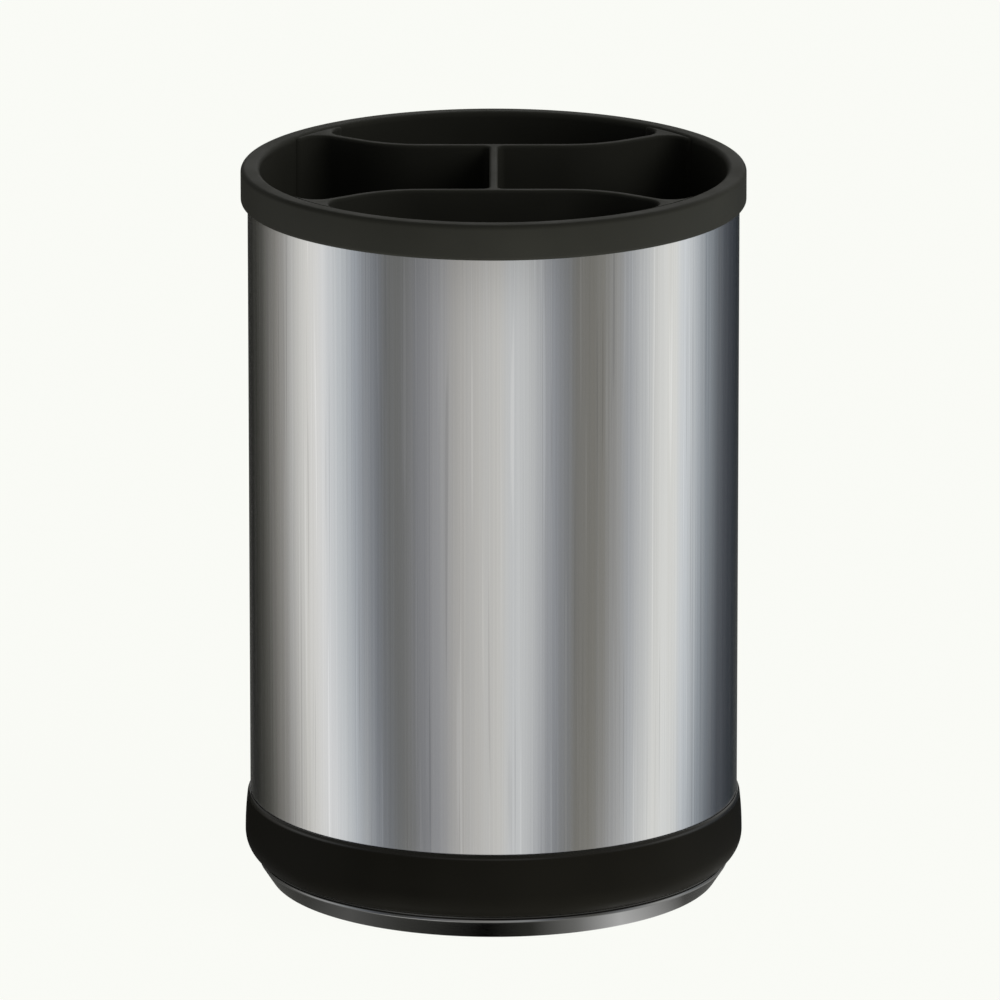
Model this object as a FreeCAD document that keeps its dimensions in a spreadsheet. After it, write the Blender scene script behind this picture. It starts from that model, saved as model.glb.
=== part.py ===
"""Round utensil holder on a turning foot, as a parametric document.

Millimetres, +Z up. The origin is the middle of the standing surface and the axis of turning is Z.
The two bowed divider walls run along X, the cross wall between them along Y.
"""
import FreeCAD
import Part
import math
import os
import Sketcher
from FreeCAD import Vector
from types import SimpleNamespace

# Driving sizes. Lengths are in millimetres, angles in degrees.
driving_sizes = {
    # whole holder
    "overall_height": 172.5,
    "overrun": 3.0,
    "fit_gap": 0.3,
    "running_play": 0.05,
    "round_limit_share": 0.95,
    # steel sleeve
    "sleeve_radius": 57.4,
    "sleeve_wall": 0.5,
    "sleeve_gap": 0.1,
    # inner liner
    "liner_gap": 0.4,
    "liner_wall": 2.0,
    "liner_draft": 0.5,
    "liner_floor": 2.4,
    "liner_inner_round": 4.0,
    "liner_outer_round": 3.0,
    "rim_height": 8.4,
    "rim_top_wall": 2.2,
    "rim_lip": 1.5,
    "rim_outer_round": 1.2,
    "rim_inner_round": 1.3,
    "rim_lower_round": 0.9,
    "stop_rib_height": 4.0,
    "stop_rib_wall": 1.6,
    "stop_rib_length": 26.0,
    "liner_boss_radius": 3.75,
    # divider
    "divider_drop": 0.3,
    "divider_gap": 0.2,
    "divider_wall": 2.2,
    "divider_offset_share": 0.409,
    "divider_straight_share": 0.303,
    "divider_bend_share": 0.459,
    "divider_bend": 36.0,
    "divider_end_wall": 0.6,
    "divider_end_width": 2.0,
    "divider_end_round": 5.0,
    "divider_tip_round": 0.9,
    "divider_top_round": 0.7,
    "divider_foot_chamfer": 5.0,
    "cross_wall": 2.0,
    "cross_round": 1.8,
    # base cup
    "band_bottom": 4.2,
    "band_height": 17.7,
    "band_lip": 1.1,
    "band_lip_edge": 0.1,
    "band_lip_height": 1.2,
    "band_flare": 0.5,
    "band_tuck": 3.7,
    "band_bulge_level_share": 0.443,
    "band_lower_round": 0.8,
    "band_wall": 4.6,
    "base_floor": 3.0,
    "sleeve_seat_step": 1.5,
    "upstand_wall": 2.6,
    "upstand_clear": 1.7,
    "spigot_radius": 4.0,
    "pivot_boss_radius": 5.0,
    "pivot_boss_height": 5.0,
    # weight plate
    "weight_thick": 6.0,
    "weight_clear": 2.7,
    "weight_gap": 1.0,
    "weight_hole_gap": 0.6,
    "weight_round": 0.6,
    # base screws
    "screw_count": 4,
    "screw_inset": 8.5,
    "screw_radius": 1.5,
    "screw_head_radius": 3.0,
    "screw_head_height": 2.2,
    "screw_hole_gap": 0.25,
    "screw_tip_clear": 1.4,
    "screw_head_round": 1.0,
    # ball bearing
    "ball_count": 12,
    "ball_radius": 2.5,
    "ball_play": 0.03,
    "race_wall": 1.0,
    "race_land": 1.0,
    "race_groove": 0.45,
    "race_groove_ease": 0.2,
    "race_seat": 0.5,
    "race_inset": 7.3,
    "cage_thick": 2.0,
    "cage_web": 1.0,
    "cage_play": 0.2,
    # turntable foot
    "foot_gap": 1.2,
    "foot_lip_gap": 0.25,
    "foot_lip_proud": 0.3,
    "foot_lip_round": 0.5,
    "foot_taper": 3.7,
    "foot_plate": 3.0,
    "foot_rim_wall": 2.0,
    "foot_rim_height": 6.0,
    "foot_lower_round": 1.0,
    "foot_upper_round": 0.6,
    "hub_wall": 2.0,
    "hub_web": 2.6,
    "hub_gap": 1.0,
    # pivot screw and washer
    "pivot_radius": 2.0,
    "pivot_head_radius": 3.8,
    "pivot_head_height": 2.2,
    "pivot_head_clear": 0.5,
    "pivot_head_round": 0.8,
    "pivot_tip_clear": 1.0,
    "pivot_point": 2.0,
    "washer_radius": 7.5,
    "washer_thick": 1.0,
    "end_play": 0.1,
    "drive_slot_wall": 1.0,
    "drive_slot_length": 4.4,
    "drive_slot_depth": 1.3,
    # anti-slip pads
    "pad_count": 6,
    "pad_radius": 6.0,
    "pad_proud": 0.4,
    "pad_recess": 0.8,
    "pad_inset": 3.5,
    "pad_round": 0.3,
}

doc = FreeCAD.newDocument("utensil_holder")
sheet = doc.addObject("Spreadsheet::Sheet", "Sizes")
for row, (alias, number) in enumerate(driving_sizes.items(), start=1):
    sheet.set(f"A{row}", alias)
    sheet.set(f"B{row}", str(number))
    sheet.setAlias(f"B{row}", alias)
doc.recompute()


class Size:
    """A named size or a sum of them: the text binds a property, the value picks edges."""

    def __init__(self, text, value):
        self.text = text
        self.value = value

    def joined(self, sign, other, value):
        return Size(f"({self.text} {sign} {text_of(other)})", value)

    def __add__(self, other):
        return self.joined("+", other, self.value + value_of(other))

    def __sub__(self, other):
        return self.joined("-", other, self.value - value_of(other))

    def __mul__(self, other):
        return self.joined("*", other, self.value * value_of(other))

    def __truediv__(self, other):
        return self.joined("/", other, self.value / value_of(other))

    def __neg__(self):
        return Size(f"(-{self.text})", -self.value)


def text_of(size):
    return size.text if isinstance(size, Size) else str(size)


def value_of(size):
    return size.value if isinstance(size, Size) else size


def cosine(angle):
    return Size(f"cos({angle.text})", math.cos(math.radians(angle.value)))


def sine(angle):
    return Size(f"sin({angle.text})", math.sin(math.radians(angle.value)))


def tangent(angle):
    return Size(f"tan({angle.text})", math.tan(math.radians(angle.value)))


def upright_arc(rise, depth):
    """The radius of an arc that is upright at one end and this much further in at the other."""
    return (rise * rise + depth * depth) / (depth * 2)


def root(size):
    return Size(f"sqrt({size.text})", math.sqrt(size.value))


def within_wall(radius, wall):
    """A rounding that never takes up the whole of the wall it runs along."""
    room = wall * s.round_limit_share
    return Size(f"min({radius.text}; {room.text})", min(radius.value, room.value))


def turn_share(index, count):
    """The angle of one place out of a full round of places."""
    return Size(f"(360 * {index} / {count.text})", 360 * index / count.value)


s = SimpleNamespace(**{name: Size(f"Sizes.{name}", sheet.get(name)) for name in driving_sizes})

# Levels from the standing surface upwards.
foot_under = s.pad_proud
plate_top = foot_under + s.foot_plate
lower_race_under = plate_top - s.race_seat
lower_race_top = lower_race_under + s.race_wall
ball_level = lower_race_top - s.race_groove + s.ball_play + s.ball_radius
upper_race_under = ball_level + s.ball_radius + s.ball_play - s.race_groove
upper_race_top = upper_race_under + s.race_wall
base_under = upper_race_top - s.race_seat
base_floor_top = base_under + s.base_floor
weight_top = base_floor_top + s.weight_thick
liner_under = weight_top + s.weight_clear
liner_floor_top = liner_under + s.liner_floor
sleeve_seat = base_floor_top + s.sleeve_seat_step
sleeve_top = s.overall_height - s.rim_top_wall
band_top = s.band_bottom + s.band_height
rim_under = s.overall_height - s.rim_height
divider_top = s.overall_height - s.divider_drop
washer_under = foot_under + s.pivot_head_clear + s.pivot_head_height
spigot_end = washer_under + s.washer_thick
hub_under = spigot_end + s.end_play
pivot_boss_top = base_floor_top + s.pivot_boss_height

# Radii from the sleeve inwards and outwards.
sleeve_bore = s.sleeve_radius - s.sleeve_wall
lip_bore = s.sleeve_radius + s.sleeve_gap
rim_radius = lip_bore + s.rim_lip
liner_radius = sleeve_bore - s.liner_gap
mouth_radius = liner_radius - s.liner_wall
liner_foot_radius = liner_radius - s.liner_draft
liner_floor_radius = mouth_radius - s.liner_draft
band_radius = lip_bore + s.band_lip
skirt_bore = band_radius - s.band_wall
upstand_radius = sleeve_bore - s.fit_gap
upstand_bore = upstand_radius - s.upstand_wall
band_edge_radius = band_radius - s.band_tuck
foot_lip_radius = band_edge_radius + s.foot_lip_proud
foot_radius = foot_lip_radius - s.foot_taper
foot_top_radius = skirt_bore - s.foot_gap
foot_rim_bore = foot_top_radius - s.foot_rim_wall
race_half = s.ball_radius + s.race_land
race_radius = foot_rim_bore - s.race_inset
ball_pitch = race_radius - race_half
race_bore = ball_pitch - race_half
race_seat_radius = race_radius + s.fit_gap
race_seat_bore = race_bore - s.fit_gap
screw_pitch = race_bore - s.screw_inset
pad_pitch = foot_radius - s.pad_inset - s.pad_radius
hub_bore = s.spigot_radius + s.running_play
hub_recess = s.washer_radius + s.hub_gap
hub_radius = hub_recess + s.hub_wall
pivot_pilot = s.pivot_radius + s.running_play
screw_pilot = s.screw_radius + s.running_play


def new_body(label):
    body = doc.addObject("PartDesign::Body", label)
    body.Label = label
    body.AllowCompound = True
    return body


def origin_feature(body, role):
    return next(feature for feature in body.Origin.OriginFeatures if feature.Role == role)


def new_sketch(body, name, plane="XZ_Plane", level=None):
    """A sketch on one of the body's own planes; a level plan is raised along Z."""
    sketch = body.newObject("Sketcher::SketchObject", name)
    sketch.AttachmentSupport = (origin_feature(body, plane), [""])
    sketch.MapMode = "FlatFace"
    if level is not None:
        sketch.setExpression("AttachmentOffset.Base.z", level.text)
    return sketch


def pin_point(sketch, curve, end, place):
    """Ties one point of a curve to its place from the sketch's origin."""
    for kind, size in zip(("DistanceX", "DistanceY"), place):
        tie = Sketcher.Constraint(kind, -1, 1, curve, end, value_of(size))
        index = sketch.addConstraint(tie)
        if isinstance(size, Size):
            sketch.setExpression(f"Constraints[{index}]", size.text)


def set_radius(sketch, curve, radius):
    index = sketch.addConstraint(Sketcher.Constraint("Radius", curve, radius.value))
    sketch.setExpression(f"Constraints[{index}]", radius.text)


def bulged_arc(start, end, radius):
    """An arc that bulges to the right of the way from its start to its end."""
    chord = end - start
    sagitta = radius - math.sqrt(radius ** 2 - (chord.Length / 2) ** 2)
    right = Vector(chord.y, -chord.x, 0).normalize()
    return Part.Arc(start, (start + end) / 2 + right * sagitta, end)


def add_outline(sketch, points, arc_radii=None):
    """A closed outline through the given places; runs named by their start place may be arcs."""
    arc_radii = arc_radii or {}
    corners = [Vector(value_of(x), value_of(y), 0) for x, y in points]
    runs = []
    for index, (start, end) in enumerate(zip(corners, corners[1:] + corners[:1])):
        radius = arc_radii.get(index)
        runs.append(bulged_arc(start, end, radius.value) if radius else Part.LineSegment(start, end))
    curves = sketch.addGeometry(runs, False)
    for curve, following in zip(curves, curves[1:] + curves[:1]):
        sketch.addConstraint(Sketcher.Constraint("Coincident", curve, 2, following, 1))
    for curve, place in zip(curves, points):
        pin_point(sketch, curve, 1, place)
    for index, radius in arc_radii.items():
        set_radius(sketch, curves[index], radius)


def add_circle(sketch, place, radius):
    centre = Vector(value_of(place[0]), value_of(place[1]), 0)
    curve = sketch.addGeometry(Part.Circle(centre, Vector(0, 0, 1), radius.value), False)
    pin_point(sketch, curve, 3, place)
    set_radius(sketch, curve, radius)


def turned(body, kind, name, sketch):
    """A Revolution or Groove of a profile about the body's upright axis."""
    feature = body.newObject(f"PartDesign::{kind}", name)
    feature.Profile = sketch
    feature.ReferenceAxis = (sketch, ["V_Axis"])
    feature.Angle = 360
    sketch.Visibility = False
    doc.recompute()
    return feature


def turned_piece(label, points, arc_radii=None):
    """A new body made by turning one closed outline of radius and height pairs."""
    body = new_body(label)
    sketch = new_sketch(body, f"{label}_profile")
    add_outline(sketch, points, arc_radii)
    turned(body, "Revolution", f"{label}_turned", sketch)
    return body


def raised(body, kind, name, sketch, length):
    """A Pad or Pocket that runs upwards from its plan."""
    volume = 0 if body.Shape.isNull() else body.Shape.Volume
    feature = body.newObject(f"PartDesign::{kind}", name)
    feature.Profile = sketch
    feature.setExpression("Length", length.text)
    feature.Reversed = kind == "Pocket"
    sketch.Visibility = False
    doc.recompute()
    if body.Shape.Volume == volume:
        raise ValueError(f"{name} changes nothing")
    return feature


def repeated(body, name, features, count):
    """The same features at even steps round the upright axis."""
    pattern = body.newObject("PartDesign::PolarPattern", name)
    pattern.Originals = features
    pattern.Axis = (origin_feature(body, "Z_Axis"), [""])
    pattern.Angle = 360
    pattern.setExpression("Occurrences", count.text)
    body.Tip = pattern
    doc.recompute()


def rounded(body, name, edges, radius):
    if not edges:
        raise ValueError(f"{name} finds no edge")
    base = body.Tip
    feature = body.newObject("PartDesign::Fillet", name)
    feature.Base = (base, edges)
    feature.setExpression("Radius", radius.text)
    doc.recompute()


def near(first, second):
    return math.isclose(first, second, abs_tol=Part.Precision.approximation())


def round_edges(body, radius, level):
    """Names of the full circles about the axis with this radius at this height."""
    return [
        f"Edge{index}"
        for index, edge in enumerate(body.Shape.Edges, start=1)
        if isinstance(edge.Curve, Part.Circle)
        and near(edge.Curve.Radius, radius.value)
        and near(edge.Curve.Center.z, level.value)
    ]


def upright_edges(body, places):
    """Names of the upright edges that stand on the given places of the plan."""
    return [
        f"Edge{index}"
        for index, edge in enumerate(body.Shape.Edges, start=1)
        if isinstance(edge.Curve, Part.Line)
        and near(abs(edge.Curve.Direction.z), 1)
        and any(
            near(edge.Vertexes[0].X, x.value) and near(edge.Vertexes[0].Y, y.value) for x, y in places
        )
    ]


def level_edges(body, level, within):
    """Names of the edges that lie at this height and have an end within this radius of the axis."""
    return [
        f"Edge{index}"
        for index, edge in enumerate(body.Shape.Edges, start=1)
        if near(edge.BoundBox.ZMin, level.value)
        and near(edge.BoundBox.ZMax, level.value)
        and any(math.hypot(corner.X, corner.Y) < within.value for corner in edge.Vertexes)
    ]


def bored(body, name, place, radius, under, length, count):
    """Like holes round the axis, cut upwards from a level."""
    sketch = new_sketch(body, f"{name}_plan", "XY_Plane", under)
    add_circle(sketch, place, radius)
    pocket = raised(body, "Pocket", f"{name}_cut", sketch, length)
    repeated(body, f"{name}_round", [pocket], count)


def at_screw(pitch):
    """The first screw's place in plan, midway between two neighbours' axes."""
    angle = turn_share(1, s.screw_count) / 2
    return (pitch * cosine(angle), pitch * sine(angle))


def make_anti_slip_pads():
    """Rubber discs pressed into recesses under the foot."""
    body = new_body("anti_slip_pads")
    sketch = new_sketch(body, "pad_plan", "XY_Plane")
    add_circle(sketch, (pad_pitch, 0), s.pad_radius)
    disc = raised(body, "Pad", "pad_disc", sketch, s.pad_proud + s.pad_recess)
    rounded(body, "pad_edge", level_edges(body, Size("0", 0), foot_radius), s.pad_round)
    repeated(body, "pads_round", [disc, body.Tip], s.pad_count)
    return body


def make_turntable_foot():
    """Flared dish with a raised rim, a seat for the lower race and a hub that runs on the spigot."""
    lip_top = s.band_bottom - s.foot_lip_gap
    rim_top = foot_under + s.foot_rim_height
    hub_top = hub_under + s.hub_web
    body = turned_piece("turntable_foot", [
        (hub_bore, hub_under),
        (hub_recess, hub_under),
        (hub_recess, foot_under),
        (foot_radius, foot_under),
        (foot_lip_radius, lip_top),
        (foot_top_radius, lip_top),
        (foot_top_radius, rim_top),
        (foot_rim_bore, rim_top),
        (foot_rim_bore, plate_top),
        (race_seat_radius, plate_top),
        (race_seat_radius, lower_race_under),
        (race_seat_bore, lower_race_under),
        (race_seat_bore, plate_top),
        (hub_radius, plate_top),
        (hub_radius, hub_top),
        (hub_bore, hub_top),
    ])
    rounded(body, "foot_lower_edge", round_edges(body, foot_radius, foot_under), s.foot_lower_round)
    rounded(body, "foot_lip_edge", round_edges(body, foot_lip_radius, lip_top), s.foot_lip_round)
    rounded(body, "foot_upper_edge", round_edges(body, foot_top_radius, rim_top), s.foot_upper_round)
    recess_radius = s.pad_radius + s.fit_gap
    bored(body, "pad_recesses", (pad_pitch, 0), recess_radius, foot_under, s.pad_recess, s.pad_count)
    return body


def make_race(label, under, top, groove_centre):
    """Pressed ring with a shallow round groove in which the balls run."""
    body = turned_piece(label, [
        (race_bore, under),
        (race_radius, under),
        (race_radius, top),
        (race_bore, top),
    ])
    sketch = new_sketch(body, f"{label}_groove_profile")
    add_circle(sketch, (ball_pitch, groove_centre), s.ball_radius + s.race_groove_ease)
    turned(body, "Groove", f"{label}_groove", sketch)
    return body


def make_lower_race():
    groove_radius = s.ball_radius + s.race_groove_ease
    centre = lower_race_top - s.race_groove + groove_radius
    return make_race("lower_race", lower_race_under, lower_race_top, centre)


def make_upper_race():
    groove_radius = s.ball_radius + s.race_groove_ease
    centre = upper_race_under + s.race_groove - groove_radius
    return make_race("upper_race", upper_race_under, upper_race_top, centre)


def make_steel_balls():
    """One ring of bearing balls."""
    balls = []
    for index in range(int(s.ball_count.value)):
        ball = doc.addObject("Part::Sphere", f"ball_{index}")
        angle = turn_share(index, s.ball_count)
        ball.setExpression("Radius", s.ball_radius.text)
        ball.setExpression("Placement.Base.x", (ball_pitch * cosine(angle)).text)
        ball.setExpression("Placement.Base.y", (ball_pitch * sine(angle)).text)
        ball.setExpression("Placement.Base.z", ball_level.text)
        balls.append(ball)
    group = doc.addObject("Part::Compound", "steel_balls")
    group.Label = "steel_balls"
    group.Links = balls
    return group


def make_ball_cage():
    """Flat ring with a round pocket for each ball."""
    pocket_radius = s.ball_radius + s.cage_play
    cage_half = pocket_radius + s.cage_web
    under = ball_level - s.cage_thick / 2
    top = ball_level + s.cage_thick / 2
    body = turned_piece("ball_cage", [
        (ball_pitch - cage_half, under),
        (ball_pitch + cage_half, under),
        (ball_pitch + cage_half, top),
        (ball_pitch - cage_half, top),
    ])
    bored(body, "ball_pockets", (ball_pitch, 0), pocket_radius, under, s.cage_thick, s.ball_count)
    return body


def make_base_cup():
    """Bulged band, sleeve groove, floor, race seat and the spigot that the foot turns on."""
    upstand_top = liner_under - s.upstand_clear
    # The band swells in two arcs that meet upright at its bulge, and its lip rounds over to the sleeve.
    bulge_level = s.band_bottom + s.band_height * s.band_bulge_level_share
    band_top_radius = band_radius - s.band_flare
    lip_level = band_top - s.band_lip_height
    lip_edge = lip_bore + s.band_lip_edge
    swell_start = (band_edge_radius, s.band_bottom)
    bulge = (band_radius, bulge_level)
    lip_start = (band_top_radius, lip_level)
    profile = [
        (pivot_pilot, spigot_end),
        (s.spigot_radius, spigot_end),
        (s.spigot_radius, base_under),
        (race_seat_bore, base_under),
        (race_seat_bore, upper_race_top),
        (race_seat_radius, upper_race_top),
        (race_seat_radius, base_under),
        (skirt_bore, base_under),
        (skirt_bore, s.band_bottom),
        swell_start,
        bulge,
        lip_start,
        (lip_edge, band_top),
        (lip_bore, band_top),
        (lip_bore, sleeve_seat),
        (upstand_radius, sleeve_seat),
        (upstand_radius, upstand_top),
        (upstand_bore, upstand_top),
        (upstand_bore, base_floor_top),
        (s.pivot_boss_radius, base_floor_top),
        (s.pivot_boss_radius, pivot_boss_top),
        (pivot_pilot, pivot_boss_top),
    ]
    arcs = {
        profile.index(swell_start): upright_arc(bulge_level - s.band_bottom, s.band_tuck),
        profile.index(bulge): upright_arc(lip_level - bulge_level, s.band_flare),
        profile.index(lip_start): upright_arc(s.band_lip_height, band_top_radius - lip_edge),
    }
    body = turned_piece("base_cup", profile, arcs)
    lower_round = within_wall(s.band_lower_round, band_edge_radius - skirt_bore)
    rounded(body, "band_lower_edge", round_edges(body, band_edge_radius, s.band_bottom), lower_round)
    hole_radius = s.screw_radius + s.screw_hole_gap
    bored(body, "screw_holes", at_screw(screw_pitch), hole_radius, base_under, s.base_floor, s.screw_count)
    return body


def make_weight_plate():
    """Steel ring on the base cup's floor, cleared round the liner's screw bosses."""
    plate_bore = s.pivot_boss_radius + s.weight_gap
    plate_radius = upstand_bore - s.weight_gap
    body = turned_piece("weight_plate", [
        (plate_bore, base_floor_top),
        (plate_radius, base_floor_top),
        (plate_radius, weight_top),
        (plate_bore, weight_top),
    ])
    rounded(body, "plate_edge", round_edges(body, plate_radius, weight_top), s.weight_round)
    hole_radius = s.liner_boss_radius + s.weight_hole_gap
    place = at_screw(screw_pitch)
    bored(body, "boss_holes", place, hole_radius, base_floor_top, s.weight_thick, s.screw_count)
    return body


def make_steel_sleeve():
    """Thin rolled tube, held between the base cup's groove and the rim's groove."""
    return turned_piece("steel_sleeve", [
        (sleeve_bore, sleeve_seat),
        (s.sleeve_radius, sleeve_seat),
        (s.sleeve_radius, sleeve_top),
        (sleeve_bore, sleeve_top),
    ])


def make_inner_liner():
    """Bucket with draft; its rim hooks over the sleeve and bosses under its floor take the screws."""
    body = turned_piece("inner_liner", [
        (0, liner_under),
        (liner_foot_radius, liner_under),
        (liner_radius, sleeve_top),
        (lip_bore, sleeve_top),
        (lip_bore, rim_under),
        (rim_radius, rim_under),
        (rim_radius, s.overall_height),
        (mouth_radius, s.overall_height),
        (liner_floor_radius, liner_floor_top),
        (0, liner_floor_top),
    ])
    rounded(body, "rim_outer_edge", round_edges(body, rim_radius, s.overall_height), s.rim_outer_round)
    rounded(body, "rim_inner_edge", round_edges(body, mouth_radius, s.overall_height), s.rim_inner_round)
    rounded(body, "rim_lower_edge", round_edges(body, rim_radius, rim_under), s.rim_lower_round)
    rounded(body, "inner_corner", round_edges(body, liner_floor_radius, liner_floor_top), s.liner_inner_round)
    rounded(body, "outer_corner", round_edges(body, liner_foot_radius, liner_under), s.liner_outer_round)

    boss_length = liner_under - base_floor_top
    place = at_screw(screw_pitch)
    boss_plan = new_sketch(body, "boss_plan", "XY_Plane", base_floor_top)
    add_circle(boss_plan, place, s.liner_boss_radius)
    boss = raised(body, "Pad", "boss", boss_plan, boss_length)
    pilot_plan = new_sketch(body, "pilot_plan", "XY_Plane", base_floor_top)
    add_circle(pilot_plan, place, screw_pilot)
    pilot = raised(body, "Pocket", "pilot", pilot_plan, boss_length)
    repeated(body, "bosses_round", [boss, pilot], s.screw_count)

    rib_inner = s.cross_wall / 2 + s.fit_gap
    rib_outer = rib_inner + s.stop_rib_wall
    rib_half = s.stop_rib_length / 2
    rib_plan = new_sketch(body, "stop_rib_plan", "XY_Plane", liner_floor_top)
    add_outline(rib_plan, [
        (rib_inner, -rib_half),
        (rib_outer, -rib_half),
        (rib_outer, rib_half),
        (rib_inner, rib_half),
    ])
    rib = raised(body, "Pad", "stop_rib", rib_plan, s.stop_rib_height)
    mirrored(body, "stop_ribs", [rib], "YZ_Plane")
    return body


def mirrored(body, name, features, plane):
    """The same features on the other side of one of the body's own planes."""
    mirror = body.newObject("PartDesign::Mirrored", name)
    mirror.Originals = features
    mirror.MirrorPlane = (origin_feature(body, plane), [""])
    body.Tip = mirror
    doc.recompute()


def make_divider():
    """Two bowed walls whose ends flare into thin curved plates, and a cross wall; slides in the liner."""
    offset = mouth_radius * s.divider_offset_share
    straight = mouth_radius * s.divider_straight_share
    bend_radius = mouth_radius * s.divider_bend_share
    half = s.divider_wall / 2
    height = divider_top - liner_floor_top
    # Each wall's straight middle and its end leg would meet at this corner.
    corner = straight + bend_radius * tangent(s.divider_bend / 2)
    mitre = half * tangent(s.divider_bend / 2)

    def on_leg(along, across):
        x = corner + along * cosine(s.divider_bend) + across * sine(s.divider_bend)
        y = -(offset + along * sine(s.divider_bend)) + across * cosine(s.divider_bend)
        return (x, y)

    # The leg's end plate follows the liner's wall and runs on past the flares on both its sides.
    end_radius = mouth_radius - s.divider_gap - s.divider_end_wall
    lead = corner * cosine(s.divider_bend) + offset * sine(s.divider_bend)
    aside = corner * sine(s.divider_bend) - offset * cosine(s.divider_bend)

    flare_share = end_radius / (end_radius - s.divider_end_round)
    flare = half + s.divider_end_round
    inner_tip = (aside + flare) * flare_share - aside + s.divider_end_width
    outer_tip = (aside - flare) * flare_share - aside - s.divider_end_width

    def on_plate(across):
        reach = root(end_radius * end_radius - (aside + across) * (aside + across)) - lead
        return on_leg(reach, across)

    beyond = mouth_radius + s.overrun - lead
    right_side = [
        (corner + mitre, half - offset),
        on_plate(half),
        on_plate(inner_tip),
        on_leg(beyond, inner_tip),
        on_leg(beyond, outer_tip),
        on_plate(outer_tip),
        on_plate(-half),
        (corner - mitre, -(half + offset)),
    ]
    left_side = [(-x, y) for x, y in reversed(right_side)]
    outline = right_side + left_side
    plate_runs = [1, 5]
    plate_runs += [len(outline) - 2 - run for run in plate_runs]

    body = new_body("divider")
    cross_plan = new_sketch(body, "cross_plan", "XY_Plane", liner_floor_top)
    cross_half = s.cross_wall / 2
    add_outline(cross_plan, [
        (-cross_half, -offset),
        (cross_half, -offset),
        (cross_half, offset),
        (-cross_half, offset),
    ])
    raised(body, "Pad", "cross", cross_plan, height)
    wall_plan = new_sketch(body, "wall_plan", "XY_Plane", liner_floor_top)
    add_outline(wall_plan, outline, {run: end_radius for run in plate_runs})
    wall = raised(body, "Pad", "wall", wall_plan, height)
    mirrored(body, "walls", [wall], "XZ_Plane")

    def all_four(places):
        right = [(x, y) for x, y in places] + [(x, -y) for x, y in places]
        return right + [(-x, y) for x, y in right]

    rounded(body, "bend_outside", upright_edges(body, all_four(right_side[:1])), bend_radius + half)
    rounded(body, "bend_inside", upright_edges(body, all_four(right_side[-1:])), bend_radius - half)
    roots = all_four([on_plate(half), on_plate(-half)])
    rounded(body, "end_flares", upright_edges(body, roots), s.divider_end_round)
    tips = all_four([on_plate(inner_tip), on_plate(outer_tip)])
    tip_round = within_wall(s.divider_tip_round, s.divider_end_width)
    rounded(body, "end_tips", upright_edges(body, tips), tip_round)
    crossing = all_four([(cross_half, half - offset)])
    rounded(body, "cross_flares", upright_edges(body, crossing), s.cross_round)
    top_round = within_wall(s.divider_top_round, cross_half)
    rounded(body, "wall_tops", level_edges(body, divider_top, mouth_radius), top_round)

    trim = new_sketch(body, "trim_profile")
    chamfer_level = liner_floor_top + s.divider_foot_chamfer
    slide_radius = liner_floor_radius - s.divider_gap
    add_outline(trim, [
        (mouth_radius - s.divider_gap, s.overall_height),
        (slide_radius, chamfer_level),
        (slide_radius - s.divider_foot_chamfer, liner_floor_top),
        (slide_radius - s.divider_foot_chamfer, liner_floor_top - s.overrun),
        (rim_radius + mouth_radius, liner_floor_top - s.overrun),
        (rim_radius + mouth_radius, s.overall_height),
    ])
    turned(body, "Groove", "trim", trim)
    return body


def make_base_screws():
    """Self-tapping pan head screws that clamp base cup, sleeve and liner together."""
    body = new_body("base_screws")
    place = at_screw(screw_pitch)
    head_under = base_under - s.screw_head_height
    head_plan = new_sketch(body, "head_plan", "XY_Plane", head_under)
    add_circle(head_plan, place, s.screw_head_radius)
    head = raised(body, "Pad", "head", head_plan, s.screw_head_height)
    rounded(body, "head_round", level_edges(body, head_under, race_bore), s.screw_head_round)
    head_round = body.Tip
    shank_plan = new_sketch(body, "shank_plan", "XY_Plane", base_under)
    add_circle(shank_plan, place, s.screw_radius)
    shank = raised(body, "Pad", "shank", shank_plan, liner_under - s.screw_tip_clear - base_under)
    repeated(body, "screws_round", [head, head_round, shank], s.screw_count)
    return body


def make_pivot_screw():
    """Round headed screw, from below into the spigot; a cross recess takes the driver."""
    head_under = foot_under + s.pivot_head_clear
    tip = pivot_boss_top - s.pivot_tip_clear
    body = turned_piece("pivot_screw", [
        (0, head_under),
        (s.pivot_head_radius, head_under),
        (s.pivot_head_radius, washer_under),
        (s.pivot_radius, washer_under),
        (s.pivot_radius, tip - s.pivot_point),
        (0, tip),
    ])
    rounded(body, "pivot_head", round_edges(body, s.pivot_head_radius, head_under), s.pivot_head_round)
    slot_half = s.drive_slot_wall / 2
    slot_reach = s.drive_slot_length / 2
    corner = [(slot_half, slot_reach), (slot_half, slot_half), (slot_reach, slot_half)]
    outline = corner + [(x, -y) for x, y in reversed(corner)]
    outline += [(-x, y) for x, y in reversed(outline)]
    drive_plan = new_sketch(body, "drive_plan", "XY_Plane", head_under)
    add_outline(drive_plan, outline)
    raised(body, "Pocket", "drive", drive_plan, s.drive_slot_depth)
    return body


def make_pivot_washer():
    """Wide washer that the screw clamps to the spigot, just clear of the foot's hub."""
    return turned_piece("pivot_washer", [
        (pivot_pilot, washer_under),
        (s.washer_radius, washer_under),
        (s.washer_radius, spigot_end),
        (pivot_pilot, spigot_end),
    ])


pieces = [
    make_anti_slip_pads(),
    make_turntable_foot(),
    make_lower_race(),
    make_steel_balls(),
    make_ball_cage(),
    make_upper_race(),
    make_base_cup(),
    make_pivot_screw(),
    make_pivot_washer(),
    make_weight_plate(),
    make_base_screws(),
    make_steel_sleeve(),
    make_inner_liner(),
    make_divider(),
]
doc.recompute()

for item in doc.Objects:
    if "Invalid" in item.State or "Error" in item.State:
        raise RuntimeError(f"{item.Name} failed: {item.State}")
for piece in pieces:
    if piece.Shape.isNull() or not piece.Shape.isValid():
        raise RuntimeError(f"{piece.Label} has no valid shape")

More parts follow.
